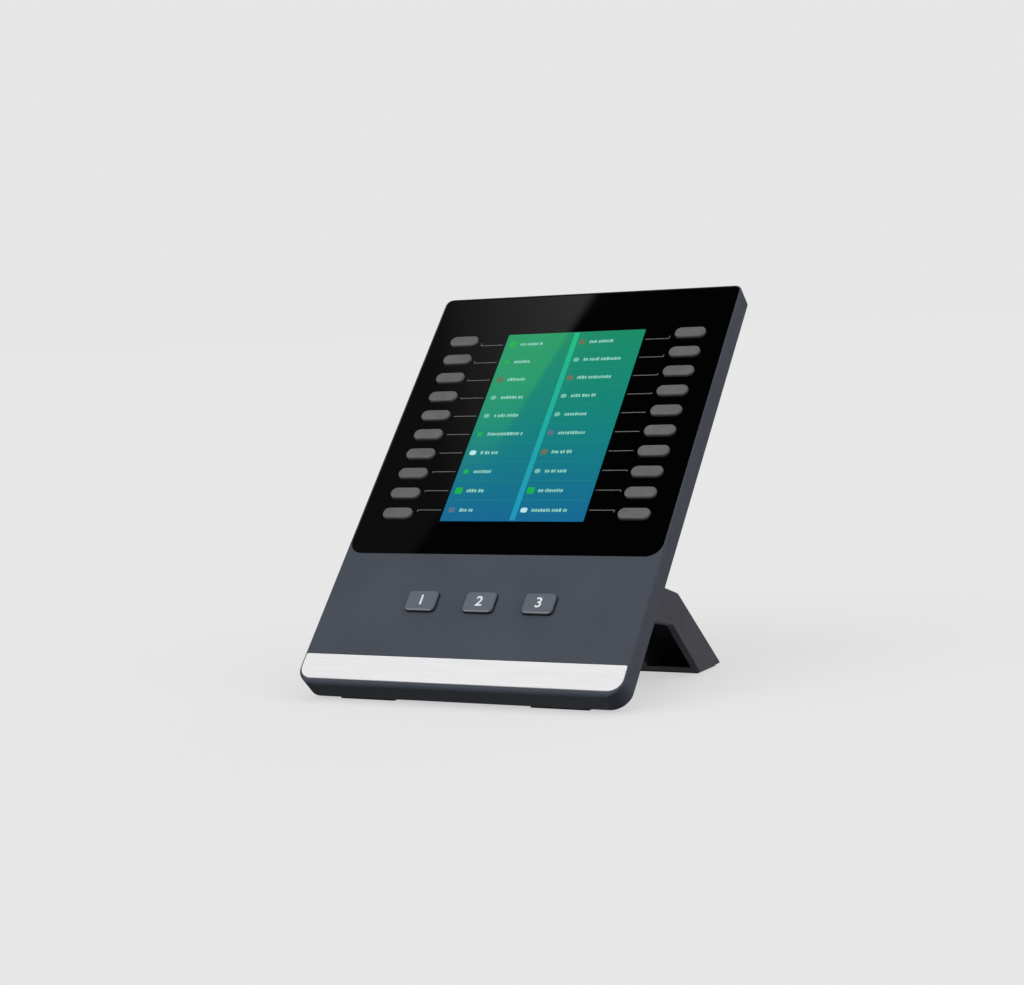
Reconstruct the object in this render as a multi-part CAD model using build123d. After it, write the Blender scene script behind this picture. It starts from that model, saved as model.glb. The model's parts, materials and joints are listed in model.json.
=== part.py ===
from build123d import *
import math
import os

os.makedirs("parts", exist_ok=True)

# Colour-screen key expansion module: a thin panel that leans back on a clip-on rear stand.
# Panel frame, in millimetres: x across the panel, y up along it from its bottom front edge,
# z out of its front face. The finished pieces are turned by the tilt into the desk frame,
# where +Z is up, and moved so that the origin is the bottom centre of the whole object.

# Panel
tilt = 47.0
panel_width = 128.0
panel_length = 185.4
top_corner = 3.2
bottom_corner = 7.0
front_depth = 8.6
back_chamfer = 4.4
side_wall = 1.8
rear_wall = 2.0
edge_break = 0.4
lower_lip = 1.7

# Glass and display
glass_side_gap = 0.7
glass_bottom = 57.4
glass_thickness = 1.5
glass_bottom_corner = 6.0
gasket_thickness = 0.2
shelf_thickness = 1.5
display_width = 58.7
display_height = 92.1
display_y = 118.5
lcd_border = 1.65
lcd_thickness = 1.6
backlight_thickness = 1.6
bracket_thickness = 0.6

# Line keys, ten in each of two columns
key_rows = 10
key_x = 48.4
key_pitch = 9.54
key_mid_y = 119.0
line_key_width = 12.4
line_key_height = 4.9
line_key_rise = 0.8
line_key_travel = 0.6
key_clearance = 0.2

# Page keys, three in one row
page_key_spacing = 23.5
page_key_y = 35.9
page_key_width = 12.0
page_key_height = 8.4
page_key_corner = 1.6
page_key_rise = 1.7
page_key_travel = 0.8
lower_plate = 2.2

# Silver strip across the bottom
strip_bottom = 1.9
strip_top = 12.6
strip_side_gap = 0.5
strip_recess = 1.3
strip_corner = 5.2
strip_gap = 0.15
strip_pegs_x = (-48.0, -16.0, 16.0, 48.0)

# Boards
board_front = -6.7
board_thickness = 1.6
board_half_width = 58.5
board_bottom = 8.0
board_top = 180.0
mat_thickness = 0.7
dome_radius = 2.0
port_board_front = -12.6
port_board_thickness = 1.4
screw_radius = 1.2
pilot_radius = 1.25
head_radius = 2.3
housing_screw_spots = [(x, y) for y in (17.0, 64.0, 173.5) for x in (-55.0, 55.0)]
board_post_spots = [(x, y) for y in (22.0, 64.0, 174.0) for x in (-37.0, 37.0)]
port_post_spots = [(x, y) for y in (101.0, 138.0) for x in (-43.0, 43.0)]

# Connector bulge on the upper back
bulge_half_width = 50.0
bulge_bottom = 92.0
bulge_top = 168.0
bulge_depth = 9.0
bulge_corner = 8.0
link_port_spots = (-27.0, -5.0)
link_port_size = (13.2, 5.8, 14.0)
power_jack_x = 22.0
power_jack_size = (8.6, 5.8, 12.0)
power_bore = 2.5
vent_rows = 5
vent_pitch = 3.6
vent_size = (30.0, 1.6)

# Bracket inserts on the lower back, one square of four each side
insert_centre_x = 37.0
insert_centre_y = 24.0
insert_square = 16.0
insert_radius = 2.1
insert_bore = 1.25
insert_length = 3.6

# Stand, in the desk frame: distance back from the panel's bottom front edge, height above desk
foot_pad = 0.7
stand_half_width = 58.8
stand_skin = 2.4
stand_cheek = 2.4
stand_rib = 2.0
rib_spots = (-38.0, -20.0, 20.0, 38.0)
strip_pad = 0.8
block_top = (54.5, 35.5)
knee = (65.1, 32.3)
toe = (104.6, 0.0)
heel = (83.0, 0.0)
elbow = (58.9, 21.5)
block_bottom = (44.4, 24.6)
knee_radius = 5.0
toe_radius = 0.5
stand_gap = 0.3
cable_half_width = 18.0
hook_spots = (-47.0, 47.0)
hook_width = 11.0
hook_neck = 2.0
hook_lip = 3.4
hook_y = 46.0
stand_travel = 4.0
second_position = 26.0

# Values that follow from the dimensions above
half_width = panel_width / 2
back_face = -(front_depth + back_chamfer)
back_inside = back_face + rear_wall
bulge_face = back_face - bulge_depth
bulge_inside = bulge_face + rear_wall
shelf_front = -(glass_thickness + gasket_thickness)
shelf_back = shelf_front - shelf_thickness
board_back = board_front - board_thickness
key_ys = [key_mid_y + (4.5 - row) * key_pitch for row in range(key_rows)]
key_spots = [(side * key_x, y) for side in (-1, 1) for y in key_ys]
page_spots = [(n * page_key_spacing, page_key_y) for n in (-1, 0, 1)]
insert_spots = [
    (side * insert_centre_x + i * insert_square / 2, insert_centre_y + j * insert_square / 2)
    for side in (-1, 1)
    for i in (-1, 1)
    for j in (-1, 1)
]
sine = math.sin(math.radians(tilt))
cosine = math.cos(math.radians(tilt))
desk_height = -front_depth * cosine - foot_pad


def block(x0, x1, y0, y1, z0, z1):
    """A box between two corners."""
    centre = Pos((x0 + x1) / 2, (y0 + y1) / 2, (z0 + z1) / 2)
    return centre * Box(abs(x1 - x0), abs(y1 - y0), abs(z1 - z0))


def slab(sketch, z0, z1):
    """A flat sketch raised from z0 to z1."""
    return extrude(Pos(0, 0, z0) * sketch, z1 - z0)


def rod(x, y, radius, z0, z1):
    """A round post along z."""
    return slab(Pos(x, y) * Circle(radius), z0, z1)


def rods(spots, radius, z0, z1):
    """The same post at each spot."""
    return [rod(x, y, radius, z0, z1) for x, y in spots]


def outline(half, y0, y1, low_corner, high_corner):
    """A rectangle about x = 0 with its own corner radius at the bottom and the top."""
    sketch = Pos(0, (y0 + y1) / 2) * Rectangle(2 * half, y1 - y0)
    sketch = fillet(sketch.vertices().group_by(Axis.Y)[0], low_corner)
    return fillet(sketch.vertices().group_by(Axis.Y)[-1], high_corner)


def body_outline(inset):
    """The panel's outline, moved inwards."""
    low = max(bottom_corner - inset, 1.0)
    high = max(top_corner - inset, 1.0)
    return outline(half_width - inset, inset, panel_length - inset, low, high)


def glass_outline(inset):
    """The glass plate's outline, moved inwards."""
    gap = glass_side_gap + inset
    low = glass_bottom_corner - inset
    return outline(half_width - gap, glass_bottom + inset, panel_length - gap, low, top_corner - gap)


def strip_outline(inset):
    """The silver strip's outline, moved inwards."""
    half = half_width - strip_side_gap - inset
    return outline(half, strip_bottom + inset, strip_top - inset, strip_corner - inset, 0.6)


def line_slot(growth):
    """The pill outline of a line key, grown on every side."""
    return SlotOverall(line_key_width + 2 * growth, line_key_height + 2 * growth)


def page_slot(growth):
    """The rounded outline of a page key, grown on every side."""
    width = page_key_width + 2 * growth
    return RectangleRounded(width, page_key_height + 2 * growth, page_key_corner + growth)


def at_spots(sketch, spots):
    """The same sketch at each spot."""
    return [Pos(x, y) * sketch for x, y in spots]


def make_front_housing():
    shell = slab(body_outline(0), -front_depth, 0)
    rim = shell.faces().sort_by(Axis.Z)[-1].edges()
    shell = chamfer(rim, edge_break)
    # The lower front edge is rounded, from the silver strip down to the bottom wall.
    corner = block(-half_width, half_width, -0.1, lower_lip, -lower_lip, 0.1)
    roller = Pos(0, lower_lip, -lower_lip) * Rot(0, 90, 0) * Cylinder(lower_lip, panel_width)
    shell -= corner - roller
    shell -= slab(body_outline(side_wall), -front_depth, shelf_back)
    lower = outline(half_width - side_wall, side_wall, glass_bottom - 2.0, 4.0, 1.0)
    shell -= slab(lower, shelf_back, -lower_plate)
    shell -= slab(glass_outline(-0.05), shelf_front, 0.1)
    shell -= slab(strip_outline(0), -strip_recess, 0.1)
    lcd = (display_width / 2 + lcd_border + 0.3, display_height / 2 + lcd_border + 0.3)
    shell -= block(-lcd[0], lcd[0], display_y - lcd[1], display_y + lcd[1], shelf_back, shelf_front)
    shell -= [slab(s, shelf_back, 0) for s in at_spots(line_slot(key_clearance), key_spots)]
    shell -= [slab(s, -lower_plate, 0) for s in at_spots(page_slot(key_clearance), page_spots)]
    shell -= [rod(x, 7.2, 1.05, -lower_plate, 0) for x in strip_pegs_x]
    shell += rods(housing_screw_spots, 2.7, -front_depth + 0.05, -lower_plate)
    shell += rods(board_post_spots, 2.4, board_front + 0.05, -lower_plate)
    shell -= rods(housing_screw_spots + board_post_spots, pilot_radius, -front_depth, -3.4)
    return shell


def make_front_glass():
    glass = slab(glass_outline(0), -glass_thickness, 0)
    return glass - [slab(s, -glass_thickness, 0) for s in at_spots(line_slot(key_clearance), key_spots)]


def make_glass_gasket():
    tape = slab(glass_outline(0.6), shelf_front, -glass_thickness)
    half = display_width / 2 + lcd_border + 0.3
    high = display_height / 2 + lcd_border + 0.3
    tape -= block(-half, half, display_y - high, display_y + high, shelf_front, -glass_thickness)
    holes = at_spots(line_slot(key_clearance + 0.6), key_spots)
    return tape - [slab(s, shelf_front, -glass_thickness) for s in holes]


def make_silver_strip():
    strip = slab(strip_outline(strip_gap), -strip_recess + 0.05, 0.1)
    strip = chamfer(strip.faces().sort_by(Axis.Z)[-1].edges(), 0.2)
    return strip + [rod(x, 7.2, 1.0, -2.9, -strip_recess + 0.2) for x in strip_pegs_x]


def make_line_key():
    """One line key about its own centre."""
    cap = slab(line_slot(0), shelf_back - 0.4, line_key_rise)
    cap = fillet(cap.faces().sort_by(Axis.Z)[-1].edges(), 0.55)
    flange = slab(line_slot(0.5), shelf_back - 0.9, shelf_back - 0.1)
    return cap + flange + rod(0, 0, 1.5, -4.9, shelf_back - 0.5)


def make_page_key():
    """One page key about its own centre."""
    cap = slab(page_slot(0), -lower_plate - 0.4, page_key_rise)
    cap = fillet(cap.faces().sort_by(Axis.Z)[-1].edges(), 0.7)
    flange = slab(page_slot(0.8), -lower_plate - 1.0, -lower_plate - 0.1)
    return cap + flange + rod(0, 0, 1.8, -4.7, -lower_plate - 0.5)


def make_lcd_panel():
    half = display_width / 2 + lcd_border
    high = display_height / 2 + lcd_border
    front = shelf_front - 0.1
    return block(-half, half, display_y - high, display_y + high, front - lcd_thickness, front)


def make_backlight_unit():
    half = display_width / 2 + lcd_border + 0.8
    high = display_height / 2 + lcd_border + 0.8
    front = shelf_front - 0.1 - lcd_thickness
    return block(-half, half, display_y - high, display_y + high, front - backlight_thickness, front)


def make_lcd_bracket():
    """A steel tray behind the display, with four windows that leave a cross and a rim."""
    half = display_width / 2 + lcd_border + 1.4
    high = display_height / 2 + lcd_border + 1.4
    front = shelf_front - 0.1 - lcd_thickness - backlight_thickness
    tray = block(-half, half, display_y - high, display_y + high, front - bracket_thickness, front)
    for i in (-1, 1):
        for j in (-1, 1):
            x, y = i * half / 2, display_y + j * high / 2
            tray -= block(x - 11, x + 11, y - 19, y + 19, front - bracket_thickness, front)
    return tray


def make_line_key_mat(side):
    """A silicone strip with one dome for each key of a column, and a hole for each light."""
    back = board_front
    low, high = key_ys[-1] - 4.4, key_ys[0] + 4.4
    mat = block(side * key_x - 7.0, side * key_x + 7.0, low, high, back, back + mat_thickness)
    spots = [(side * key_x, y) for y in key_ys]
    mat += rods(spots, dome_radius, back + 0.3, back + 1.1)
    return mat - rods([(x + 4.2, y) for x, y in spots], 1.3, back, back + mat_thickness)


def make_page_key_mat():
    back = board_front
    mat = block(-32.0, 32.0, page_key_y - 7.0, page_key_y + 7.0, back, back + mat_thickness)
    return mat + rods(page_spots, dome_radius + 0.3, back + 0.3, back + 1.1)


def make_key_lights():
    """The lamp under each line key."""
    low, high = board_front, board_front + 0.5
    return Compound([block(x + 3.4, x + 5.0, y - 0.4, y + 0.4, low, high) for x, y in key_spots])


def make_main_board():
    sheet = outline(board_half_width, board_bottom, board_top, 3.0, 3.0)
    board = slab(sheet, board_back, board_front)
    board -= rods(housing_screw_spots, 3.2, board_back, board_front)
    return board - rods(board_post_spots, 1.4, board_back, board_front)


def make_shield_can():
    return block(-17.0, 17.0, 103.0, 135.0, board_back - 2.4, board_back)


def make_board_chips():
    """The larger parts on the back of the main board."""
    spots = [(-30.0, 84.0, 6.0, 6.0, 1.2), (0.0, 82.0, 8.0, 8.0, 1.4), (28.0, 84.0, 5.0, 4.0, 1.6)]
    spots += [(-33.0, 152.0, 7.0, 5.0, 1.4), (34.0, 120.0, 4.0, 4.0, 2.0), (-34.0, 120.0, 5.0, 5.0, 1.2)]
    chips = [block(x - a / 2, x + a / 2, y - b / 2, y + b / 2, board_back - c, board_back)
             for x, y, a, b, c in spots]
    return Compound(chips)


def make_display_flex():
    """The flat cable that leaves the display's lower edge and folds down to its connector."""
    front = shelf_front - 0.1 - lcd_thickness - backlight_thickness
    low = display_y - display_height / 2 - lcd_border - 1.4
    tail = block(-9.0, 9.0, low - 6.0, low - 0.1, front - 0.3, front - 0.1)
    return tail + block(-9.0, 9.0, low - 6.0, low - 5.7, board_front + 0.9, front - 0.1)


def make_display_connector():
    low = display_y - display_height / 2 - lcd_border - 1.4
    return block(-10.0, 10.0, low - 7.6, low - 3.4, board_front, board_front + 0.9)


def make_board_link():
    """The stacking connector between the two boards."""
    return block(-12.0, 12.0, 142.0, 147.0, port_board_front, board_back)


def make_port_board():
    low, high = port_board_front - port_board_thickness, port_board_front
    board = slab(outline(46.5, bulge_bottom + 3.0, 150.0, 3.0, 3.0), low, high)
    return board - rods(port_post_spots, 1.4, low, high)


def make_link_port(x):
    """A metal-shelled socket that opens down the back, with its contact tongue."""
    width, height, depth = link_port_size
    front = port_board_front - port_board_thickness
    y0 = bulge_bottom + 0.4
    shell = block(x - width / 2, x + width / 2, y0, y0 + depth, front - height, front)
    inside = block(x - width / 2 + 0.35, x + width / 2 - 0.35, y0, y0 + depth - 1.5,
                   front - height + 0.35, front - 0.35)
    tongue = block(x - 5.6, x + 5.6, y0 + 1.0, y0 + depth - 1.2, front - 2.3, front - 0.5)
    return shell - inside + tongue


def make_power_jack():
    """A round power inlet with its centre pin, opening down the back."""
    width, height, depth = power_jack_size
    front = port_board_front - port_board_thickness
    y0 = bulge_bottom + 0.4
    x = power_jack_x
    middle = front - height / 2
    jack = block(x - width / 2, x + width / 2, y0, y0 + depth, front - height, front)
    axis = Pos(x, y0, middle) * Rot(-90, 0, 0)
    jack -= axis * extrude(Circle(power_bore), depth - 1.5)
    return jack + axis * Pos(0, 0, 1.0) * extrude(Circle(0.8), depth - 2.0)


def make_rear_housing():
    land = 0.05
    shell = slab(body_outline(0), -front_depth - land, -front_depth)
    shell += loft([Pos(0, 0, -front_depth - land) * body_outline(0),
                   Pos(0, 0, back_face) * body_outline(back_chamfer - land)], ruled=True)
    bulge = slab(outline(bulge_half_width, bulge_bottom, bulge_top, 3.0, bulge_corner),
                 bulge_face, back_face + 1.0)
    shell += chamfer(bulge.faces().sort_by(Axis.Z)[0].edges(), 1.6)
    shell -= slab(body_outline(back_chamfer), back_inside, -front_depth)
    hollow = outline(bulge_half_width - rear_wall, bulge_bottom + rear_wall, bulge_top - rear_wall,
                     2.0, bulge_corner - rear_wall)
    shell -= slab(hollow, bulge_inside, back_inside)
    # Screw towers, port board posts and insert bosses stand on the inside of the back.
    shell += rods(housing_screw_spots, 3.6, back_face + 0.5, -front_depth)
    shell -= rods(housing_screw_spots, 1.5, back_face, -front_depth)
    shell -= rods(housing_screw_spots, head_radius + 0.3, back_face, back_face + 3.0)
    port_back = port_board_front - port_board_thickness
    shell += rods(port_post_spots, 2.4, bulge_face + 1.0, port_back)
    shell -= rods(port_post_spots, pilot_radius, bulge_inside + 0.5, port_back)
    shell += rods(insert_spots, 3.4, back_face + 0.5, back_face + insert_length + 0.6)
    shell -= rods(insert_spots, insert_radius, back_face, back_face + insert_length)
    # Mouths of the sockets in the lower wall of the bulge
    width, height, depth = link_port_size
    step = (bulge_bottom - 1.0, bulge_bottom + rear_wall + 0.2)
    for x in link_port_spots:
        shell -= block(x - width / 2 - 0.2, x + width / 2 + 0.2, *step, port_back - height - 0.1,
                       port_back)
    width, height, depth = power_jack_size
    shell -= block(power_jack_x - width / 2 - 0.2, power_jack_x + width / 2 + 0.2, *step,
                   port_back - height - 0.1, port_back)
    # Vents, the two pairs of stand slots and the label's recess
    for row in range(vent_rows):
        y = bulge_top - 10.0 - row * vent_pitch
        for x in (-24.0, 24.0):
            shell -= slab(Pos(x, y) * SlotOverall(*vent_size), bulge_face, bulge_inside)
    slot_top = hook_y + hook_neck + 0.2
    slot_low = slot_top - hook_neck - stand_travel - 0.4
    for x in hook_spots:
        for up in (0, second_position):
            shell -= block(x - hook_width / 2 - 0.3, x + hook_width / 2 + 0.3, slot_low + up,
                           slot_top + up, back_face, back_inside)
    shell -= block(-17.2, 17.2, 12.8, 33.2, back_face, back_face + 0.3)
    return shell


def make_label_plate():
    return slab(Pos(0, 23.0) * RectangleRounded(34.0, 20.0, 1.0), back_face + 0.05, back_face + 0.3)


def make_screw(x, y, head_low, head_high, tip):
    """A pan-head screw along z with a cross recess in its head."""
    screw = rod(x, y, head_radius, head_low, head_high)
    away = -1 if tip > head_high else 1
    face = head_low if away < 0 else head_high
    deep = face - away * 0.9
    low, high = min(face, deep), max(face, deep)
    screw -= block(x - 1.4, x + 1.4, y - 0.3, y + 0.3, low, high)
    screw -= block(x - 0.3, x + 0.3, y - 1.4, y + 1.4, low, high)
    near = head_high if away < 0 else head_low
    return screw + rod(x, y, screw_radius, min(near, tip), max(near, tip))


def make_housing_screws():
    seat = back_face + 3.0
    return Compound([make_screw(x, y, seat - 1.6, seat, -3.6) for x, y in housing_screw_spots])


def make_board_screws():
    spots = [make_screw(x, y, board_back - 1.4, board_back, -3.6) for x, y in board_post_spots]
    spots += [make_screw(x, y, port_board_front, port_board_front + 1.4, bulge_inside + 1.0)
              for x, y in port_post_spots]
    return Compound(spots)


def make_bracket_inserts():
    """Brass threaded inserts in the lower back."""
    return Compound([rod(x, y, insert_radius, back_face, back_face + insert_length)
                     - rod(x, y, insert_bore, back_face, back_face + insert_length)
                     for x, y in insert_spots])


def to_panel(point):
    """A stand point, from distance back and height above the desk to the panel frame."""
    y, z = point[0], point[1] + desk_height
    return (y * cosine + z * sine, -y * sine + z * cosine)


def meet_line(start, end, depth):
    """Where the line through two stand points crosses the plane at this panel depth."""
    (y0, z0), (y1, z1) = to_panel(start), to_panel(end)
    share = (depth - z0) / (z1 - z0)
    return (start[0] + share * (end[0] - start[0]), start[1] + share * (end[1] - start[1]))


def shift(point, along, across, start, end):
    """A point moved along a line's direction and to the right of it."""
    length = math.dist(start, end)
    dy, dz = (end[0] - start[0]) / length, (end[1] - start[1]) / length
    return (point[0] + along * dy + across * dz, point[1] + along * dz - across * dy)


def at_height(start, end, height):
    """Where a line between two stand points is at this height."""
    share = (height - start[1]) / (end[1] - start[1])
    return (start[0] + share * (end[0] - start[0]), height)


def cross_point(a, b, c, d):
    """Where the line through a and b crosses the line through c and d."""
    bx, by, dx, dy = b[0] - a[0], b[1] - a[1], d[0] - c[0], d[1] - c[1]
    share = ((c[0] - a[0]) * dy - (c[1] - a[1]) * dx) / (bx * dy - by * dx)
    return (a[0] + share * bx, a[1] + share * by)


def side_prism(points, half, rounds=()):
    """A side outline of the stand, as an upright prism about x = 0 in the panel frame."""
    sketch = Polygon(*[to_panel(p) for p in points], align=None)
    for point, radius in rounds:
        spot = Vector(*to_panel(point), 0)
        corner = min(sketch.vertices(), key=lambda v: (Vector(v.X, v.Y, v.Z) - spot).length)
        sketch = fillet(corner, radius)
    return Plane.YZ * extrude(sketch, half, both=True)


def make_stand():
    face = back_face - stand_gap
    top = meet_line(knee, block_top, face)
    low = meet_line(elbow, block_bottom, face)
    toe_top = at_height(knee, toe, strip_pad)
    heel_top = at_height(elbow, heel, strip_pad)
    rounds = ((knee, knee_radius), (toe_top, toe_radius), (elbow, 2.0))
    stand = side_prism([top, knee, toe_top, heel_top, elbow, low], stand_half_width, rounds)
    stand = chamfer(stand.faces().sort_by(Axis.X)[-1].edges(), edge_break)
    stand = chamfer(stand.faces().sort_by(Axis.X)[0].edges(), edge_break)
    # The mould hollows it from below, between the cheeks and four ribs.
    skin_a = shift(top, 3.2, stand_skin, top, knee)
    skin_b = shift(knee, 0, stand_skin, top, knee)
    skin_c = shift(knee, 0, stand_skin, knee, toe)
    skin_d = shift(toe, 0, stand_skin, knee, toe)
    corner = cross_point(skin_a, skin_b, skin_c, skin_d)
    floor_back = at_height(skin_c, skin_d, strip_pad + 2.0)
    floor_front = (heel[0] - 9.0, strip_pad + 2.0)
    under_elbow = (elbow[0] - 7.0, elbow[1] - 7.0)
    under_block = meet_line((elbow[0], elbow[1] - 9.0), (block_bottom[0], block_bottom[1] - 9.0),
                            face - 3.2)
    hollow = [skin_a, corner, floor_back, floor_front, under_elbow, under_block]
    edges = [-stand_half_width + stand_cheek - stand_rib / 2, *rib_spots,
             stand_half_width - stand_cheek + stand_rib / 2]
    for start, end in zip(edges, edges[1:]):
        bay = side_prism(hollow, (end - start - stand_rib) / 2, ((corner, 2.8),))
        stand -= Pos((start + end) / 2, 0, 0) * bay
    # Notch for cables beside the panel, and a window for them in the leg
    stand -= block(-cable_half_width, cable_half_width, 20.0, 75.0, face - 9.0, face + 1.0)
    window = [shift(knee, 12.0, -2, knee, toe), shift(knee, 26.0, -2, knee, toe),
              shift(knee, 26.0, 5, knee, toe), shift(knee, 12.0, 5, knee, toe)]
    stand -= side_prism(window, cable_half_width)
    # Hooks that pass the slots and lie behind the back wall
    for x in hook_spots:
        half = hook_width / 2
        stand += block(x - half, x + half, hook_y, hook_y + hook_neck, face - 1.0, back_inside + 1.6)
        stand += block(x - half, x + half, hook_y, hook_y + hook_neck + hook_lip,
                       back_inside + 0.1, back_inside + 1.6)
    return stand


def make_stand_grip():
    """The rubber strip under the stand's foot."""
    front, back = heel[0] + 1.0, toe[0] - 3.2
    points = [(front, 0), (back, 0), (back + 0.6, strip_pad), (front, strip_pad)]
    return side_prism(points, stand_half_width - 1.5)


def make_front_feet():
    """Two rubber pads on the sloping lower back edge, flat on the desk."""
    seat = -front_depth - 0.08
    near, far = (0.6, seat - 0.6), (3.8, seat - 3.8)
    pads = []
    for x in (-38.0, 38.0):
        profile = [near, far]
        for y, z in (far, near):
            drop = y * sine + z * cosine - desk_height
            profile.append((y - drop * sine, z - drop * cosine))
        pad = Plane.YZ * extrude(Polygon(*profile, align=None), 11.0, both=True)
        pads.append(Pos(x, 0, 0) * pad)
    return Compound(pads)


def make_parts():
    """Every node by name, in the panel frame."""
    parts = {
        "front_housing": make_front_housing(),
        "rear_housing": make_rear_housing(),
        "front_glass": make_front_glass(),
        "glass_gasket": make_glass_gasket(),
        "silver_strip": make_silver_strip(),
        "lcd_panel": make_lcd_panel(),
        "backlight_unit": make_backlight_unit(),
        "lcd_bracket": make_lcd_bracket(),
        "display_flex": make_display_flex(),
        "display_connector": make_display_connector(),
        "line_key_mat_left": make_line_key_mat(-1),
        "line_key_mat_right": make_line_key_mat(1),
        "page_key_mat": make_page_key_mat(),
        "key_lights": make_key_lights(),
        "main_board": make_main_board(),
        "shield_can": make_shield_can(),
        "board_chips": make_board_chips(),
        "board_link": make_board_link(),
        "port_board": make_port_board(),
        "link_port_in": make_link_port(link_port_spots[0]),
        "link_port_out": make_link_port(link_port_spots[1]),
        "power_jack": make_power_jack(),
        "label_plate": make_label_plate(),
        "housing_screws": make_housing_screws(),
        "board_screws": make_board_screws(),
        "bracket_inserts": make_bracket_inserts(),
        "front_feet": make_front_feet(),
        "stand": make_stand(),
        "stand_grip": make_stand_grip(),
    }
    line_key = make_line_key()
    for side, column in ((-1, "left"), (1, "right")):
        for row, y in enumerate(key_ys):
            parts[f"line_key_{column}_{row + 1:02d}"] = Pos(side * key_x, y, 0) * line_key
    page_key = make_page_key()
    for number, (x, y) in enumerate(page_spots):
        parts[f"page_key_{number + 1}"] = Pos(x, y, 0) * page_key
    return parts


turned = {name: Rot(tilt, 0, 0) * part for name, part in make_parts().items()}
whole = Compound(list(turned.values())).bounding_box()
origin_shift = Pos(-(whole.min.X + whole.max.X) / 2, -(whole.min.Y + whole.max.Y) / 2, -whole.min.Z)
for name, part in turned.items():
    export_step(origin_shift * part, f"parts/{name}.step")
print("size", whole.size)
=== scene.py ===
import json
import math
import random

import bmesh
import bpy
from mathutils import Matrix, Vector


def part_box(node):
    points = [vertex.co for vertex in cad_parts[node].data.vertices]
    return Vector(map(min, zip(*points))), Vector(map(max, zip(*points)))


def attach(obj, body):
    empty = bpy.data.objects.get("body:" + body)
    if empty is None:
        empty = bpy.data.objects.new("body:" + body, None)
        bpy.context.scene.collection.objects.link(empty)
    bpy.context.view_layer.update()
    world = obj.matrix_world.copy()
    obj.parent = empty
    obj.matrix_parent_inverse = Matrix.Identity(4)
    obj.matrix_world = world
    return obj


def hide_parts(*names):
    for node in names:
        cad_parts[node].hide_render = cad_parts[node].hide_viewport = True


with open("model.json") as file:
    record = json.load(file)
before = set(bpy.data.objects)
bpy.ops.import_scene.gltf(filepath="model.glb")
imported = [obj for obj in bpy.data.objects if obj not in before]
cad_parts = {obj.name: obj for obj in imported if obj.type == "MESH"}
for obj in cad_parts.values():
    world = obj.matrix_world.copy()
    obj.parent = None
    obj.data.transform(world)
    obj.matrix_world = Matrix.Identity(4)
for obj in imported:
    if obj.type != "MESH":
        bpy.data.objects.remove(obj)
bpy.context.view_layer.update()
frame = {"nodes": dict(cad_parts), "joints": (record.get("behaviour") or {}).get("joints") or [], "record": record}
mm = 0.001

# The panel leans back. Its own frame has x across it, y up along it and z out of its front,
# and starts at the middle of its bottom front edge.
panel = {"edgeBreak": 0.4 * mm, "sideDepth": 8.6 * mm}
pressAxis = next(j["axis"] for j in frame["joints"] if j["name"] == "page_key_1_press")
leanAngle = math.atan2(pressAxis[1], -pressAxis[2])
housingLow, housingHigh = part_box("front_housing")
panelOrigin = Vector((
    (housingLow.x + housingHigh.x) / 2,
    housingLow.y - panel["edgeBreak"] * math.cos(leanAngle),
    housingLow.z + panel["sideDepth"] * math.cos(leanAngle),
))
panelPlace = Matrix.Translation(panelOrigin) @ Matrix.Rotation(leanAngle, 4, "X")
fromDesk = panelPlace.inverted()
print("stage: frame loaded, lean in degrees", round(math.degrees(leanAngle), 2))


# a CAD node's lowest and highest corners in the panel's frame
def panelSpan(node):
    points = [fromDesk @ v.co for v in frame["nodes"][node].data.vertices]
    return (Vector([min(p[i] for p in points) for i in range(3)]),
            Vector([max(p[i] for p in points) for i in range(3)]))


def nodeMiddle(node):
    low, high = panelSpan(node)
    return (low + high) / 2


# Mesh helpers: every new piece is drawn flat in the panel's frame, then set in place.

def roundedFace(bm, x0, x1, y0, y1, low, high=None, segments=6, z=0.0):
    corners = [bm.verts.new((x, y, z)) for x, y in ((x0, y0), (x1, y0), (x1, y1), (x0, y1))]
    bm.faces.new(corners)
    for pair, radius in ((corners[:2], low), (corners[2:], low if high is None else high)):
        if radius > 0:
            bmesh.ops.bevel(bm, geom=pair, offset=radius, offset_type="OFFSET", segments=segments,
                            profile=0.5, affect="VERTICES", material=-1)


def fillOutlines(bm):
    bmesh.ops.delete(bm, geom=bm.faces[:], context="FACES_ONLY")
    bmesh.ops.triangle_fill(bm, use_beauty=True, use_dissolve=False, edges=bm.edges[:])


def thicken(bm, depth):
    raised = bmesh.ops.extrude_face_region(bm, geom=bm.faces[:])
    moved = [e for e in raised["geom"] if isinstance(e, bmesh.types.BMVert)]
    bmesh.ops.translate(bm, verts=moved, vec=(0, 0, -depth))
    bmesh.ops.recalc_face_normals(bm, faces=bm.faces[:])


def softenTop(bm, top, width, segments):
    rim = [e for e in bm.edges if all(abs(v.co.z - top) < 1e-7 for v in e.verts)
           and len(e.link_faces) == 2 and e.calc_face_angle(0) > 1.0]
    bmesh.ops.bevel(bm, geom=rim, offset=width, offset_type="OFFSET", segments=segments,
                    profile=0.5, affect="EDGES", material=-1)


# a shallow dish in the top, and a narrow flat ring inside it that keeps the middle's shading flat
def dishTop(bm, top, steps):
    faces = topFaces(bm, top)
    for width, depth in (*steps, (0.06 * mm, 0)):
        bmesh.ops.inset_region(bm, faces=faces, thickness=width, depth=depth, use_even_offset=True)


def topFaces(bm, top):
    return [f for f in bm.faces if all(abs(v.co.z - top) < 1e-7 for v in f.verts)]


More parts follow.
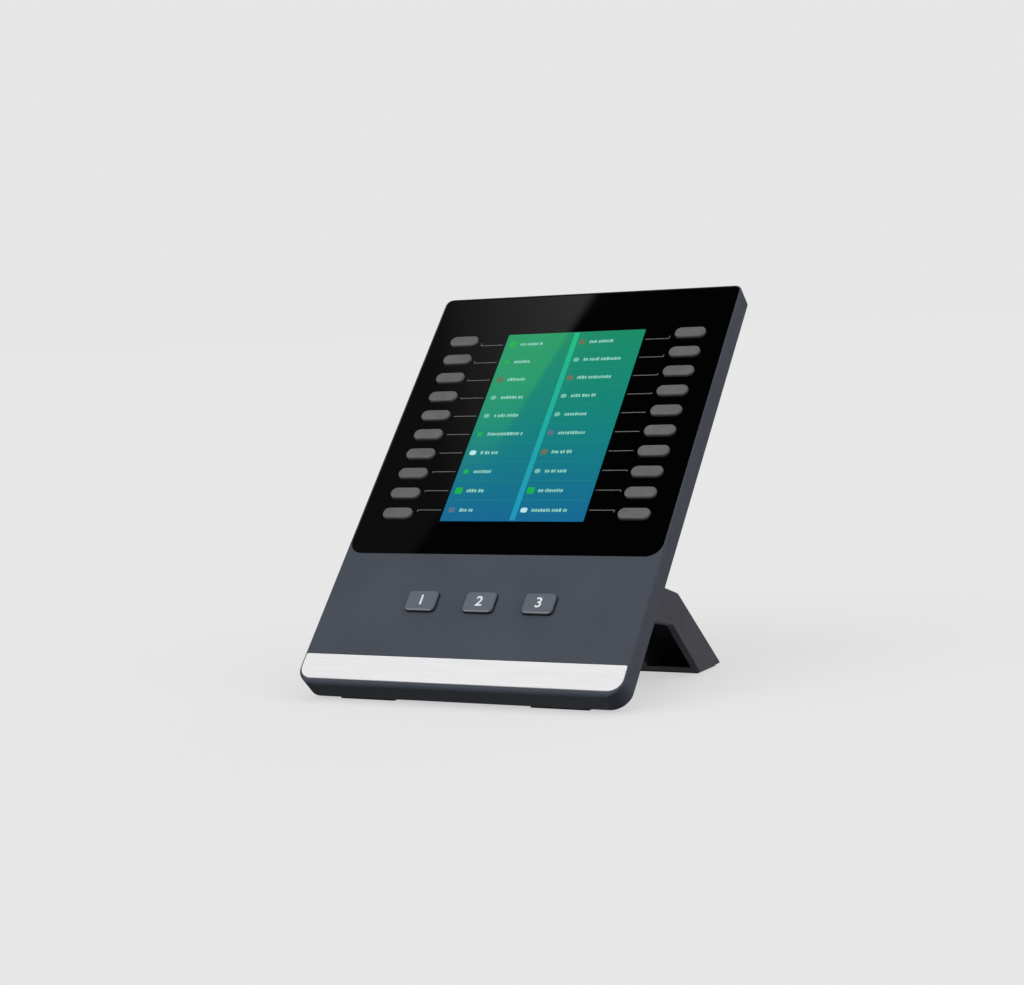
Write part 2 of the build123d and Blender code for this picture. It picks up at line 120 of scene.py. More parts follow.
def newPiece(name, bm, body, material, place=panelPlace, smoothAngle=40):
    bmesh.ops.recalc_face_normals(bm, faces=bm.faces[:])
    bm.transform(place)
    mesh = bpy.data.meshes.new(name)
    bm.to_mesh(mesh)
    bm.free()
    mesh.shade_smooth()
    mesh.set_sharp_from_angle(angle=math.radians(smoothAngle))
    mesh.materials.append(material)
    piece = bpy.data.objects.new(name, mesh)
    bpy.context.scene.collection.objects.link(piece)
    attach(piece, body)
    return piece


# Material helpers: node patterns on Object coordinates, in metres.

def newMaterial(name):
    material = bpy.data.materials.new(name)
    material.use_nodes = True
    return material, material.node_tree, material.node_tree.nodes["Principled BSDF"]


def addNode(tree, kind, **inputs):
    node = tree.nodes.new(kind)
    for key, value in inputs.items():
        node.inputs[key].default_value = value
    return node


# a noise on Object coordinates, so its scale is in features per metre
def wave(tree, scale, detail=2.0, stretch=(1, 1, 1), rough=0.5):
    coords = tree.nodes.new("ShaderNodeTexCoord")
    mapping = addNode(tree, "ShaderNodeMapping", Scale=stretch)
    noise = addNode(tree, "ShaderNodeTexNoise", Scale=scale, Detail=detail, Roughness=rough)
    tree.links.new(coords.outputs["Object"], mapping.inputs["Vector"])
    tree.links.new(mapping.outputs["Vector"], noise.inputs["Vector"])
    return noise.outputs["Fac"]


# a noise stretched to run from low to high
def spread(tree, value, low, high):
    # most of a noise lies between these two values
    ramp = addNode(tree, "ShaderNodeMapRange", **{"From Min": 0.3, "From Max": 0.7,
                                                  "To Min": low, "To Max": high})
    tree.links.new(value, ramp.inputs["Value"])
    return ramp.outputs["Result"]


# a Mix node set to colours has its two colours at inputs 6 and 7, and its result at output 2
def colourMix(tree, share):
    mix = tree.nodes.new("ShaderNodeMix")
    mix.data_type = "RGBA"
    tree.links.new(share, mix.inputs["Factor"])
    return mix.inputs[6], mix.inputs[7], mix.outputs[2]


def tint(tree, value, dark, light):
    first, second, mixed = colourMix(tree, spread(tree, value, 0, 1))
    first.default_value = (*dark, 1)
    second.default_value = (*light, 1)
    return mixed


def relief(tree, shader, value, strength, depth):
    bump = addNode(tree, "ShaderNodeBump", Strength=strength, Distance=depth)
    tree.links.new(value, bump.inputs["Height"])
    tree.links.new(bump.outputs["Normal"], shader.inputs["Normal"])


def shaded(colour, share):
    return tuple(c * share for c in colour)


# moulded plastic: fine spark-eroded grain, a little unevenness in tone and gloss
def mouldedPlastic(name, colour, rough=0.5, grain=0.25, grainSize=0.35, variation=0.06, specular=0.4):
    material, tree, shader = newMaterial(name)
    cloud = wave(tree, 45, 3)
    tree.links.new(tint(tree, cloud, shaded(colour, 1 - variation), shaded(colour, 1 + variation)),
                   shader.inputs["Base Color"])
    tree.links.new(spread(tree, wave(tree, 260, 2), rough - 0.05, rough + 0.05),
                   shader.inputs["Roughness"])
    relief(tree, shader, wave(tree, 1000 / grainSize, 2), grain, 0.03 * mm)
    shader.inputs["Specular IOR Level"].default_value = specular
    return material


# bare or plated metal with fine tool or brush lines
def plainMetal(name, colour, rough=0.3, stretch=(1, 1, 1), lineScale=900, depth=0.15, metallic=1.0):
    material, tree, shader = newMaterial(name)
    lines = wave(tree, lineScale, 3, stretch, 0.6)
    tree.links.new(tint(tree, lines, shaded(colour, 0.92), colour), shader.inputs["Base Color"])
    tree.links.new(spread(tree, lines, rough - 0.06, rough + 0.08), shader.inputs["Roughness"])
    relief(tree, shader, lines, depth, 0.01 * mm)
    shader.inputs["Metallic"].default_value = metallic
    return material


def softRubber(name, colour, rough=0.75):
    material, tree, shader = newMaterial(name)
    cloud = wave(tree, 600, 4)
    tree.links.new(tint(tree, cloud, shaded(colour, 0.8), shaded(colour, 1.2)),
                   shader.inputs["Base Color"])
    relief(tree, shader, cloud, 0.3, 0.05 * mm)
    shader.inputs["Roughness"].default_value = rough
    return material


# Front glass and lit screen

glass = {
    "lowCorner": 6.0 * mm, "highCorner": 2.5 * mm, "thickness": 1.5 * mm, "edge": 0.12 * mm,
    "colour": (0.0006, 0.0006, 0.0007), "rough": 0.022,
}
screen = {
    "halfWidth": 29.35 * mm, "bottom": 72.45 * mm, "top": 164.55 * mm, "depth": 3.3 * mm,
    "rows": 10, "rowPitch": 9.08 * mm, "middle": 118.4 * mm,
    "topColour": (0.006, 0.255, 0.125), "middleColour": (0.003, 0.22, 0.19),
    "lowColour": (0.004, 0.135, 0.29), "middleAt": 0.52,
    "dividerTop": (0.01, 0.50, 0.20), "dividerLow": (0.01, 0.30, 0.50),
    "dividerX": 0.6 * mm, "dividerHalf": 1.1 * mm, "glow": 1.0, "gap": 0.05 * mm, "recess": 0.02 * mm,
    "print": 0.1 * mm,  # how deep the band, blocks and rules go into the screen
    # a painted reflection: a paler green wedge up the left side of the wallpaper, standing in for light reflected
    # in the glass from the upper left; where its edge is at two heights
    "reflectionWedge": {"lowX": -16 * mm, "lowY": 112 * mm, "highX": -2.5 * mm, "highY": 166 * mm, "soft": 1.2 * mm,
              "fadeLow": 95 * mm, "fadeHigh": 140 * mm, "amount": 0.55, "colour": (0.02, 0.37, 0.12)},
}
pillEnd = 0.05 * mm  # half of the short straight left at a pill's end
keyPad = {"halfWidth": 6.2 * mm, "halfHeight": 2.45 * mm, "rise": 0.8 * mm, "clearance": 0.2 * mm,
          "depth": 4.2 * mm, "edge": 0.5 * mm, "dark": (0.118, 0.118, 0.122), "pale": (0.145, 0.145, 0.15),
          "dish": ((0.06 * mm, 0), (0.12 * mm, 0), (0.5 * mm, -0.11 * mm))}
lineKeys = sorted(n for n in frame["nodes"] if n.startswith("line_key_") and n[-2:].isdigit())


def blackGloss():
    material, tree, shader = newMaterial("blackGloss")
    shader.inputs["Base Color"].default_value = (*glass["colour"], 1)
    smear = 0.01  # how far the roughness strays
    tree.links.new(spread(tree, wave(tree, 30, 2), glass["rough"] - smear, glass["rough"] + smear),
                   shader.inputs["Roughness"])
    shader.inputs["IOR"].default_value = 1.5
    return material


def makeGlass():
    bm = bmesh.new()
    g, s = glass, screen
    low, high = panelSpan("front_glass")
    roundedFace(bm, low.x, high.x, low.y, high.y, g["lowCorner"], g["highCorner"], 10)
    roundedFace(bm, -s["halfWidth"], s["halfWidth"], s["bottom"], s["top"], 0.3 * mm, segments=2)
    wide = keyPad["halfWidth"] + keyPad["clearance"]
    high = keyPad["halfHeight"] + keyPad["clearance"]
    for node in lineKeys:
        x, y = nodeMiddle(node).xy
        roundedFace(bm, x - wide, x + wide, y - high, y + high, high - pillEnd, segments=8)
    fillOutlines(bm)
    thicken(bm, g["thickness"])
    softenTop(bm, 0, g["edge"], 1)
    piece = newPiece("frontGlassPlate", bm, "housing", blackGloss(), smoothAngle=25)
    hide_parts("front_glass")


# a colour that changes up the screen, and the place in the panel's frame that it is read at
def heightBlend(tree, stops):
    coords = tree.nodes.new("ShaderNodeTexCoord")
    mapping = addNode(tree, "ShaderNodeMapping", Location=fromDesk.translation, Rotation=fromDesk.to_euler())
    split = tree.nodes.new("ShaderNodeSeparateXYZ")
    ramp = tree.nodes.new("ShaderNodeValToRGB")
    scale = addNode(tree, "ShaderNodeMapRange", **{"From Min": screen["bottom"], "From Max": screen["top"]})
    tree.links.new(coords.outputs["Object"], mapping.inputs["Vector"])
    tree.links.new(mapping.outputs["Vector"], split.inputs["Vector"])
    tree.links.new(split.outputs["Y"], scale.inputs["Value"])
    tree.links.new(scale.outputs["Result"], ramp.inputs["Fac"])
    steps = ramp.color_ramp.elements
    while len(steps) < len(stops):
        steps.new(0.5)
    for step, (where, colour) in zip(steps, stops):
        step.position = where
        step.color = (*colour, 1)
    return ramp.outputs["Color"], split


# how much of the painted reflection wedge's colour shows at a place on the screen
def wedgeShare(tree, split, reflectionWedge):
    lean = (reflectionWedge["highX"] - reflectionWedge["lowX"]) / (reflectionWedge["highY"] - reflectionWedge["lowY"])
    edge = tree.nodes.new("ShaderNodeMath")  # where the wedge's edge is at this height
    edge.operation = "MULTIPLY_ADD"
    edge.inputs[1].default_value = lean
    edge.inputs[2].default_value = reflectionWedge["lowX"] - lean * reflectionWedge["lowY"]
    inside = tree.nodes.new("ShaderNodeMath")
    inside.operation = "SUBTRACT"
    side = addNode(tree, "ShaderNodeMapRange", **{"From Min": -reflectionWedge["soft"], "From Max": reflectionWedge["soft"]})
    rise = addNode(tree, "ShaderNodeMapRange", **{"From Min": reflectionWedge["fadeLow"], "From Max": reflectionWedge["fadeHigh"],
                                                  "To Max": reflectionWedge["amount"]})
    share = tree.nodes.new("ShaderNodeMath")
    share.operation = "MULTIPLY"
    tree.links.new(split.outputs["Y"], edge.inputs[0])
    tree.links.new(edge.outputs[0], inside.inputs[0])
    tree.links.new(split.outputs["X"], inside.inputs[1])
    tree.links.new(inside.outputs[0], side.inputs["Value"])
    tree.links.new(split.outputs["Y"], rise.inputs["Value"])
    tree.links.new(side.outputs["Result"], share.inputs[0])
    tree.links.new(rise.outputs["Result"], share.inputs[1])
    return share.outputs[0]


def litSurface(name, stops, reflectionWedge=None):
    material, tree, shader = newMaterial(name)
    colour, split = heightBlend(tree, stops)
    # mix in the painted reflection wedge, when one is given
    if reflectionWedge:
        first, second, mixed = colourMix(tree, wedgeShare(tree, split, reflectionWedge))
        tree.links.new(colour, first)
        second.default_value = (*reflectionWedge["colour"], 1)
        colour = mixed
    tree.links.new(colour, shader.inputs["Emission Color"])
    shader.inputs["Emission Strength"].default_value = screen["glow"]
    shader.inputs["Base Color"].default_value = (0.005, 0.006, 0.007, 1)
    shader.inputs["Roughness"].default_value = 0.08
    return material


def litPlain(name, colour):
    return litSurface(name, [(0.0, colour), (1.0, colour)])


def makeScreen():
    s = screen
    bm = bmesh.new()
    wide, bottom, top = s["halfWidth"] - s["gap"], s["bottom"] + s["gap"], s["top"] - s["gap"]
    roundedFace(bm, -wide, wide, bottom, top, 0.25 * mm, segments=2, z=-s["recess"])
    thicken(bm, s["depth"])
    stops = [(0.0, s["lowColour"]), (s["middleAt"], s["middleColour"]), (1.0, s["topColour"])]
    # the wallpaper carries a painted reflection up its left side
    wallpaper = litSurface("screenWallpaper", stops, s["reflectionWedge"])
    piece = newPiece("screenPane", bm, "housing", wallpaper)
    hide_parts("lcd_panel")
    # the brighter band between the two columns
    bm = bmesh.new()
    roundedFace(bm, s["dividerX"] - s["dividerHalf"], s["dividerX"] + s["dividerHalf"],
                s["bottom"] + 0.4 * mm, s["top"] - 0.4 * mm, 0.2 * mm, segments=2)
    thicken(bm, s["print"])
    band = litSurface("screenBand", [(0.0, s["dividerLow"]), (1.0, s["dividerTop"])])
    newPiece("screenDivider", bm, "housing", band)


# one row's label: a run of little blocks of uneven size, which spell nothing
def labelBlocks(bm, left, y, length, pen):
    x, end = left, left + length
    while x < end:
        width = pen.uniform(*labels["widths"]) * mm
        height = pen.choice(labels["heights"])
        foot = y - labels["drop"]
        roundedFace(bm, x, x + width, foot, foot + height, labels["corner"], segments=2, z=labels["rise"])
        x += width + (labels["wordGap"] if pen.random() < labels["wordEnds"] else labels["gap"])


labels = {
    "seed": 7, "leftStart": -22.6 * mm, "rightStart": 7.2 * mm,
    "iconInset": 3.4 * mm, "rightIconInset": 2.4 * mm,
    "widths": (0.45, 1.05), "heights": (1.2 * mm, 1.25 * mm, 1.35 * mm, 1.5 * mm), "drop": 0.75 * mm,
    "corner": 0.14 * mm, "rise": 0.02 * mm, "gap": 0.3 * mm, "wordGap": 0.8 * mm, "wordEnds": 0.12,
    "leftLengths": (9, 7.5, 7.5, 9, 9.5, 15, 7.5, 7, 7, 6),
    "rightLengths": (10, 15.5, 14, 10, 9, 11, 8, 9, 10, 14.5),
    "leftIcons": "GgrmmgwgGn", "rightIcons": "rmrmmnrmGw",
    "white": (0.50, 0.78, 0.78), "green": (0.01, 0.42, 0.07), "rust": (0.13, 0.17, 0.10),
    "mist": (0.16, 0.50, 0.40), "neutral": (0.10, 0.16, 0.26), "text": (0.26, 0.60, 0.50),
    "rule": (0.012, 0.27, 0.23), "ruleHalf": 0.07 * mm, "ruleEnd": 1 * mm,
}
# each icon: which colour, then its half width, half height and corner in millimetres
iconKinds = {"G": ("green", 1.5, 1.5, 0.5), "g": ("green", 1.0, 1.0, 0.7), "w": ("white", 1.35, 1.1, 0.8),
             "r": ("rust", 1.35, 1.2, 0.4), "m": ("mist", 1.2, 1.0, 0.9), "n": ("neutral", 1.3, 1.1, 0.4)}


def iconShape(bm, halfWide, halfHigh, corner, x, y):
    roundedFace(bm, x - halfWide * mm, x + halfWide * mm, y - halfHigh * mm, y + halfHigh * mm,
                corner * mm, segments=4, z=labels["rise"])


# how far up the panel a row of the screen is, counting rows from the top
def rowHeight(row):
    return screen["middle"] + ((screen["rows"] - 1) / 2 - row) * screen["rowPitch"]


def makeScreenRows():
    s = screen
    pen = random.Random(labels["seed"])
    bandLeft, bandRight = s["dividerX"] - s["dividerHalf"], s["dividerX"] + s["dividerHalf"]
    words = bmesh.new()
    icons = {colour: bmesh.new() for colour in ("green", "white", "rust", "mist", "neutral")}
    rules = bmesh.new()
    for row in range(s["rows"]):
        y = rowHeight(row)
        labelBlocks(words, labels["leftStart"], y, labels["leftLengths"][row] * mm, pen)
        labelBlocks(words, labels["rightStart"], y, labels["rightLengths"][row] * mm, pen)
        for kind, x in ((labels["leftIcons"][row], -s["halfWidth"] + labels["iconInset"]),
                        (labels["rightIcons"][row], bandRight + labels["rightIconInset"])):
            colour, *size = iconKinds[kind]
            iconShape(icons[colour], *size, x, y)
        if row:
            line = y + s["rowPitch"] / 2
            for x0, x1 in ((-s["halfWidth"] + labels["ruleEnd"], bandLeft),
                           (bandRight, s["halfWidth"] - labels["ruleEnd"])):
                roundedFace(rules, x0, x1, line - labels["ruleHalf"], line + labels["ruleHalf"], 0)
    for bm in (words, rules, *icons.values()):
        thicken(bm, s["print"])
    newPiece("screenLabels", words, "housing", litPlain("labelPale", labels["text"]))
    newPiece("screenRules", rules, "housing", litPlain("ruleTeal", labels["rule"]))
    for colour, bm in icons.items():
        newPiece("screenIcons_" + colour, bm, "housing", litPlain("icon_" + colour, labels[colour]))


# Printed lines from each line key to its row on the screen

leader = {"keyEnd": 40.3 * mm, "screenEnd": 30.4 * mm, "half": 0.16 * mm, "corner": 0.1 * mm,
          "rise": 0.03 * mm, "tickRise": 0.035 * mm, "depth": 0.1 * mm,
          "tickShare": 0.55, "leastTick": 0.35 * mm,  # a tick turns part of the way to its key
          "colour": (0.16, 0.16, 0.155)}


def makeLeaders():
    bm = bmesh.new()
    half = leader["half"]
    for node in lineKeys:
        x, keyY = nodeMiddle(node).xy
        side = 1 if x > 0 else -1
        y = rowHeight(int(node[-2:]) - 1)
        inner, outer = sorted((side * leader["screenEnd"], side * leader["keyEnd"]))
        roundedFace(bm, inner, outer, y - half, y + half, leader["corner"], segments=2, z=leader["rise"])
        tick = leader["tickShare"] * (keyY - y)
        if abs(tick) > leader["leastTick"]:
            end = side * leader["keyEnd"]
            low, high = sorted((y, y + tick))
            roundedFace(bm, end - half, end + half, low, high, leader["corner"], segments=2,
                        z=leader["tickRise"])
    thicken(bm, leader["depth"])
    ink, tree, shader = newMaterial("leaderInk")
    tree.links.new(tint(tree, wave(tree, 900, 2), shaded(leader["colour"], 0.85), leader["colour"]),
                   shader.inputs["Base Color"])
    shader.inputs["Roughness"].default_value = 0.4
    newPiece("leaderLines", bm, "housing", ink)


# Line keys: smoke-grey translucent pills with a shallow dish

def smokeKey():
    material, tree, shader = newMaterial("smokeKey")
    cloud = wave(tree, 220, 3)
    tree.links.new(tint(tree, cloud, keyPad["dark"], keyPad["pale"]), shader.inputs["Base Color"])
    relief(tree, shader, wave(tree, 2600, 2), 0.1, 0.02 * mm)
    shader.inputs["Roughness"].default_value = 0.38
    shader.inputs["Subsurface Weight"].default_value = 0.15
    shader.inputs["Subsurface Radius"].default_value = (1.2 * mm, 1.2 * mm, 1.2 * mm)
    return material


def makeLineKeys():
    smoke = smokeKey()
    k = keyPad
    for node in lineKeys:
        x, y = nodeMiddle(node).xy
        bm = bmesh.new()
        roundedFace(bm, x - k["halfWidth"], x + k["halfWidth"], y - k["halfHeight"], y + k["halfHeight"],
                    k["halfHeight"] - pillEnd, segments=10, z=k["rise"])
        thicken(bm, k["depth"])
        softenTop(bm, k["rise"], k["edge"], 4)
        dishTop(bm, k["rise"], k["dish"])
        piece = newPiece("pill_" + node, bm, node + "_body", smoke)
        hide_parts(node)


# Page keys with their digits

pageKey = {"halfWidth": 6.0 * mm, "halfHeight": 4.2 * mm, "corner": 1.6 * mm, "rise": 1.7 * mm,
           "edge": 0.6 * mm, "digitSize": 5.8 * mm, "digitWeight": 0.1 * mm,
           # the edge colour is a painted highlight for each cap's lower rounded edge
           "colour": (0.112, 0.130, 0.160), "highlightColour": (0.36, 0.38, 0.42),
           # the skirt colour is painted shade around the foot of each cap
           "shadeRingColour": (0.012, 0.013, 0.016),
           "skirtRise": 0.95 * mm, "skirtOut": 0.14 * mm, "skirtDepth": 2.2 * mm, "skirtEdge": 0.12 * mm,
           "depth": 4.2 * mm, "dish": ((0.06 * mm, 0), (0.1 * mm, 0), (0.5 * mm, -0.05 * mm)),
           "digitHalf": 0.03 * mm, "digitLift": 0.05 * mm}


# painted highlight: the rounded edge that faces down the panel is painted paler than the rest of a cap, standing
# in for the light that edge catches
def paleLowerEdge(material, colour):
    tree = material.node_tree
    shader = tree.nodes["Principled BSDF"]
    body = shader.inputs["Base Color"].links[0].from_socket
    coords = tree.nodes.new("ShaderNodeTexCoord")
    facing = tree.nodes.new("ShaderNodeVectorMath")
    facing.operation = "DOT_PRODUCT"
    facing.inputs[1].default_value = panelPlace.to_3x3() @ Vector((0, -1, 1)).normalized()
    # 1 is squarely down and out at 45 degrees: the middle of the rounded edge
    share = addNode(tree, "ShaderNodeMapRange", **{"From Min": 0.86, "From Max": 0.97})
    tree.links.new(coords.outputs["Normal"], facing.inputs[0])
    tree.links.new(facing.outputs["Value"], share.inputs["Value"])
    first, second, mixed = colourMix(tree, share.outputs["Result"])
    tree.links.new(body, first)
    second.default_value = (*colour, 1)
    tree.links.new(mixed, shader.inputs["Base Color"])


# a printed digit as a flat mesh in the panel's frame
def digitMesh(number, x, y):
    k = pageKey
    text = bpy.data.curves.new("digit", "FONT")
    text.body = str(number)
    text.size = k["digitSize"]
    text.align_x, text.align_y = "CENTER", "CENTER"
    text.extrude = k["digitHalf"]
    text.offset = k["digitWeight"]
    holder = bpy.data.objects.new("digit", text)
    bpy.context.scene.collection.objects.link(holder)
    bpy.context.view_layer.update()
    flat = bpy.data.meshes.new_from_object(holder.evaluated_get(bpy.context.evaluated_depsgraph_get()))
    bpy.data.objects.remove(holder)
    bm = bmesh.new()
    bm.from_mesh(flat)
    bpy.data.meshes.remove(flat)
    bmesh.ops.remove_doubles(bm, verts=bm.verts[:], dist=1e-6)
    bmesh.ops.translate(bm, verts=bm.verts[:], vec=(x, y, k["rise"] - k["digitLift"]))
    return bm


def makePageKeys():
    capPlastic = mouldedPlastic("pageKeyPlastic", pageKey["colour"], 0.42, 0.12)
    # a painted highlight along the lower rounded edge of each cap
    paleLowerEdge(capPlastic, pageKey["highlightColour"])
    # a near-black material used as painted shade below each cap
    shadeRingMaterial = softRubber("keyShadeRing", pageKey["shadeRingColour"], 0.6)
    ink, tree, shader = newMaterial("digitWhite")
    tree.links.new(tint(tree, wave(tree, 500, 2), (0.72, 0.72, 0.74), (0.82, 0.82, 0.84)),
                   shader.inputs["Base Color"])
    shader.inputs["Roughness"].default_value = 0.5
    k = pageKey
    for number in (1, 2, 3):
        node = "page_key_%d" % number
        x, y = nodeMiddle(node).xy
        bm = bmesh.new()
        roundedFace(bm, x - k["halfWidth"], x + k["halfWidth"], y - k["halfHeight"], y + k["halfHeight"],
                    k["corner"], segments=6, z=k["rise"])
        thicken(bm, k["depth"])
        softenTop(bm, k["rise"], k["edge"], 4)
        dishTop(bm, k["rise"], k["dish"])
        cap = newPiece("cap_" + node, bm, node + "_body", capPlastic)
        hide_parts(node)
        # a near-black ring that shows below the cap: painted shade standing in for the shadow along the key's
        # lower and right sides
        bm = bmesh.new()
        wide, high = k["halfWidth"] + k["skirtOut"], k["halfHeight"] + k["skirtOut"]
        roundedFace(bm, x - wide, x + wide, y - high, y + high, k["corner"] + k["skirtOut"],
                    segments=6, z=k["skirtRise"])
        thicken(bm, k["skirtDepth"])
        softenTop(bm, k["skirtRise"], k["skirtEdge"], 2)
        newPiece("shadeRing_" + node, bm, node + "_body", shadeRingMaterial, smoothAngle=30)
        newPiece("digit_%d" % number, digitMesh(number, x, y), node + "_body", ink)


# The bright strip along the foot of the panel

strip = {"lowCorner": 5.05 * mm, "highCorner": 0.5 * mm, "thickness": 1.3 * mm, "edge": 0.22 * mm,
         "colour": (0.93, 0.93, 0.945), "metallic": 0.12}  # a silver paint, mostly pigment


def makeStrip():
    bm = bmesh.new()
    s = strip
    low, high = panelSpan("silver_strip")
    roundedFace(bm, low.x, high.x, low.y, high.y, s["lowCorner"], s["highCorner"], 10, high.z)
    thicken(bm, s["thickness"])
    softenTop(bm, high.z, s["edge"], 3)
    dishTop(bm, high.z, ())
    brushed = plainMetal("brushedStrip", s["colour"], 0.36, (0.02, 1, 1), 2600, 0.12, s["metallic"])
    piece = newPiece("silverStripBar", bm, "housing", brushed)
    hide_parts("silver_strip")


makeGlass()
makeScreen()
makeScreenRows()
makeLeaders()
makeLineKeys()
makePageKeys()
makeStrip()
print("stage: front pieces made")


# Finishes for the CAD pieces that stay, one for each material slot

finishes = {
    "housing_front": mouldedPlastic("frontHousingPlastic", (0.059, 0.070, 0.092), 0.52, 0.2),
    "housing_rear": mouldedPlastic("rearHousingPlastic", (0.045, 0.046, 0.058), 0.55, 0.35, 0.5),
    "stand_plastic": mouldedPlastic("standPlastic", (0.063, 0.062, 0.082), 0.5, 0.35, 0.5),
    "gasket": softRubber("gasketFoam", (0.02, 0.02, 0.02)),
    "foot_rubber": softRubber("footRubber", (0.03, 0.03, 0.032)),
    "silicone": softRubber("domeSilicone", (0.55, 0.56, 0.56), 0.5),
    "backlight": mouldedPlastic("lightGuide", (0.8, 0.8, 0.8), 0.3, 0.05),
    "sheet_steel": plainMetal("sheetSteel", (0.55, 0.56, 0.57), 0.35),
    "tinplate": plainMetal("tinplate", (0.66, 0.66, 0.67), 0.25),
    "socket_metal": plainMetal("socketShell", (0.62, 0.62, 0.63), 0.28),
    "screw_steel": plainMetal("screwSteel", (0.10, 0.10, 0.105), 0.38),
    "brass": plainMetal("insertBrass", (0.62, 0.42, 0.15), 0.3),
    "flex": mouldedPlastic("flexFilm", (0.45, 0.2, 0.03), 0.3, 0.05),
    "connector_plastic": mouldedPlastic("connectorPlastic", (0.7, 0.66, 0.55), 0.4, 0.1),
    "lamp": mouldedPlastic("lampPlastic", (0.7, 0.75, 0.7), 0.3, 0.05),
    "circuit_board": mouldedPlastic("boardMask", (0.01, 0.09, 0.035), 0.3, 0.1, 1.2, 0.2),
    "chip_plastic": mouldedPlastic("chipPlastic", (0.012, 0.012, 0.013), 0.45, 0.1),
    "jack_plastic": mouldedPlastic("jackPlastic", (0.01, 0.01, 0.011), 0.4, 0.1),
    "label": mouldedPlastic("labelFilm", (0.5, 0.51, 0.53), 0.35, 0.08),
}
slotOf = {part["node"]: part["material_slot"] for part in frame["record"]["subparts"]}
for node, piece in frame["nodes"].items():
    if slotOf[node] in finishes:
        for index in range(len(piece.material_slots)):
            piece.material_slots[index].material = finishes[slotOf[node]]
print("stage: CAD pieces finished")


# Camera, floor and light

camera = {"eye": (0.3433, -0.61107, 0.12194),  # from the panel's lower front edge
          "look": (-0.4584, 0.8854, -0.0784), "roll": -2.49, "lens": 72.27, "sensor": 36}


def makeCamera():
    data = bpy.data.cameras.new("camera")
    data.lens = camera["lens"]
    data.sensor_width = camera["sensor"]
    view = bpy.data.objects.new("camera", data)
    place = Matrix.Translation(panelOrigin + Vector(camera["eye"]))
    turn = Vector(camera["look"]).to_track_quat("-Z", "Y").to_matrix().to_4x4()
    view.matrix_world = place @ turn @ Matrix.Rotation(math.radians(camera["roll"]), 4, "Z")
    bpy.context.scene.collection.objects.link(view)
    bpy.context.scene.camera = view


studio = {
    "background": 0.7913, "floor": 0.20, "floorGlow": 0.552, "floorSize": 40, "floorDrop": 0.05 * mm,
    "above": 0.85, "level": 0.55, "below": 0.05,
    "glossBelow": 0.1, "gloss": 0.30, "glossTop": 0.008,
    # the window: where its slanting edge is, and how bright it is near that edge and far from it
    "windowEdge": -0.388, "windowSlant": 0.68, "windowSoft": 0.002,
    "windowFarX": -0.49, "windowNearX": -0.425, "windowFar": 0.09, "windowNear": 0.62,
    # each lamp: the way to it, its strength and how wide it looks in degrees
    "suns": (((-0.45, -0.75, 0.9), 1.1, 60), ((1.0, 0.1, 0.7), 0.75, 60), ((0.1, 0.9, 0.6), 0.7, 60)),
}


def makeFloor():
    bm = bmesh.new()
    bmesh.ops.create_grid(bm, x_segments=1, y_segments=1, size=studio["floorSize"])
    mesh = bpy.data.meshes.new("floor")
    bm.to_mesh(mesh)
    bm.free()
    pale, tree, shader = newMaterial("paleFloor")
    shader.inputs["Base Color"].default_value = (studio["floor"],) * 3 + (1,)
    shader.inputs["Roughness"].default_value = 1.0
    shader.inputs["Specular IOR Level"].default_value = 0.0
    shader.inputs["Emission Color"].default_value = (1, 1, 1, 1)
    shader.inputs["Emission Strength"].default_value = studio["floorGlow"]
    # clear from underneath, so that the underside can be looked at too
    clear = tree.nodes.new("ShaderNodeBsdfTransparent")
    side = tree.nodes.new("ShaderNodeNewGeometry")
    tree.links.new(pick(tree, side.outputs["Backfacing"], shader.outputs["BSDF"], clear.outputs["BSDF"]),
                   tree.nodes["Material Output"].inputs["Surface"])
    mesh.materials.append(pale)
    floor = bpy.data.objects.new("floor", mesh)
    floor.location.z = -studio["floorDrop"]
    floor.visible_diffuse = False
    floor.visible_glossy = False
    bpy.context.scene.collection.objects.link(floor)


# light that depends only on how high up it comes from: height and brightness pairs
def dome(tree, height, stops):
    lift = addNode(tree, "ShaderNodeMapRange", **{"From Min": -1.0, "From Max": 1.0})
    ramp = tree.nodes.new("ShaderNodeValToRGB")
    while len(ramp.color_ramp.elements) < len(stops):
        ramp.color_ramp.elements.new(0.5)
    for step, (where, value) in zip(ramp.color_ramp.elements, stops):
        step.position = (where + 1) / 2
        step.color = (value, value, value, 1)
    light = tree.nodes.new("ShaderNodeBackground")
    tree.links.new(height, lift.inputs["Value"])
    tree.links.new(lift.outputs["Result"], ramp.inputs["Fac"])
    tree.links.new(ramp.outputs["Color"], light.inputs["Color"])
    return light.outputs["Background"]


def pick(tree, share, first, second):
    mix = tree.nodes.new("ShaderNodeMixShader")
    tree.links.new(share, mix.inputs["Fac"])
    tree.links.new(first, mix.inputs[1])
    tree.links.new(second, mix.inputs[2])
    return mix.outputs["Shader"]


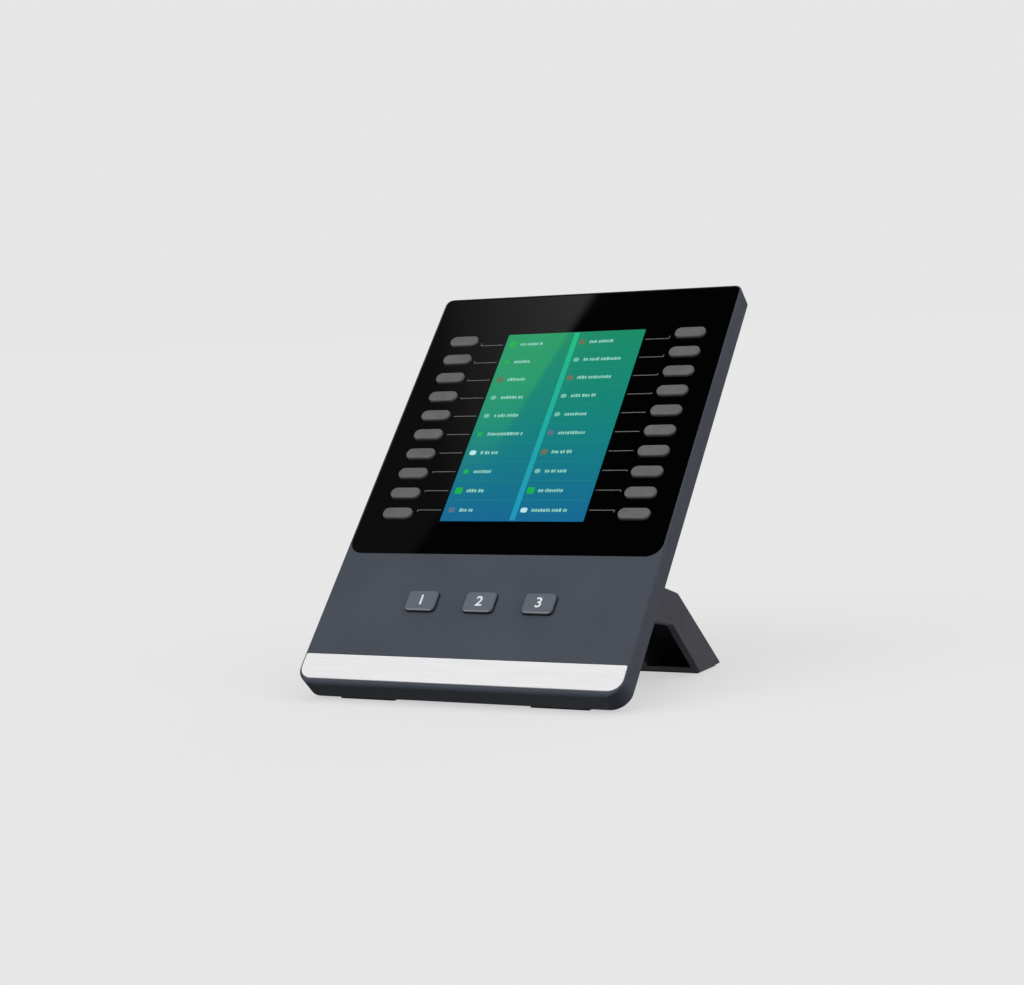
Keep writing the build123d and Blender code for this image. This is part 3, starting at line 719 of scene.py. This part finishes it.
def makeWorld():
    s = studio
    world = bpy.data.worlds.new("studio")
    bpy.context.scene.world = world
    world.use_nodes = True
    tree = world.node_tree
    tree.nodes.clear()
    coords = tree.nodes.new("ShaderNodeTexCoord")
    split = tree.nodes.new("ShaderNodeSeparateXYZ")
    tree.links.new(coords.outputs["Generated"], split.inputs["Vector"])
    height = split.outputs["Z"]
    even = dome(tree, height, [(-1, s["background"]), (1, s["background"])])
    soft = dome(tree, height, [(-1, s["below"]), (-0.1, s["below"]), (0.1, s["level"]), (1, s["above"])])
    shine = dome(tree, height, [(-1, s["glossBelow"]), (-0.05, s["gloss"]), (0.35, s["gloss"]),
                                (0.7, s["glossTop"]), (1, s["glossTop"])])
    # a soft window up to the left, brightest along its slanting right edge
    slant = tree.nodes.new("ShaderNodeMath")
    slant.operation = "MULTIPLY_ADD"
    slant.inputs[1].default_value = -s["windowSlant"]
    inside = addNode(tree, "ShaderNodeMapRange", **{"From Min": s["windowEdge"] + s["windowSoft"],
                                                    "From Max": s["windowEdge"] - s["windowSoft"]})
    tree.links.new(split.outputs["Y"], slant.inputs[0])
    tree.links.new(split.outputs["X"], slant.inputs[2])
    tree.links.new(slant.outputs[0], inside.inputs["Value"])
    falloff = addNode(tree, "ShaderNodeMapRange", **{"From Min": s["windowFarX"], "From Max": s["windowNearX"],
                                                     "To Min": s["windowFar"], "To Max": s["windowNear"]})
    tree.links.new(split.outputs["X"], falloff.inputs["Value"])
    window = tree.nodes.new("ShaderNodeBackground")
    tree.links.new(falloff.outputs["Result"], window.inputs["Strength"])
    room = pick(tree, inside.outputs["Result"], shine, window.outputs["Background"])
    # gloss sees the room, everything else the soft dome, and the backdrop is even
    path = tree.nodes.new("ShaderNodeLightPath")
    lit = pick(tree, path.outputs["Is Glossy Ray"], soft, room)
    out = tree.nodes.new("ShaderNodeOutputWorld")
    tree.links.new(pick(tree, path.outputs["Is Camera Ray"], lit, even), out.inputs["Surface"])


def makeLights():
    for index, (source, power, spreadAngle) in enumerate(studio["suns"]):
        data = bpy.data.lights.new("sun_%d" % index, "SUN")
        data.energy = power
        data.angle = math.radians(spreadAngle)
        lamp = bpy.data.objects.new("sun_%d" % index, data)
        lamp.matrix_world = Vector(source).to_track_quat("Z", "Y").to_matrix().to_4x4()
        lamp.visible_glossy = False
        bpy.context.scene.collection.objects.link(lamp)


makeCamera()
makeFloor()
makeWorld()
makeLights()
bpy.context.scene.view_settings.view_transform = "Standard"
print("stage: studio set")
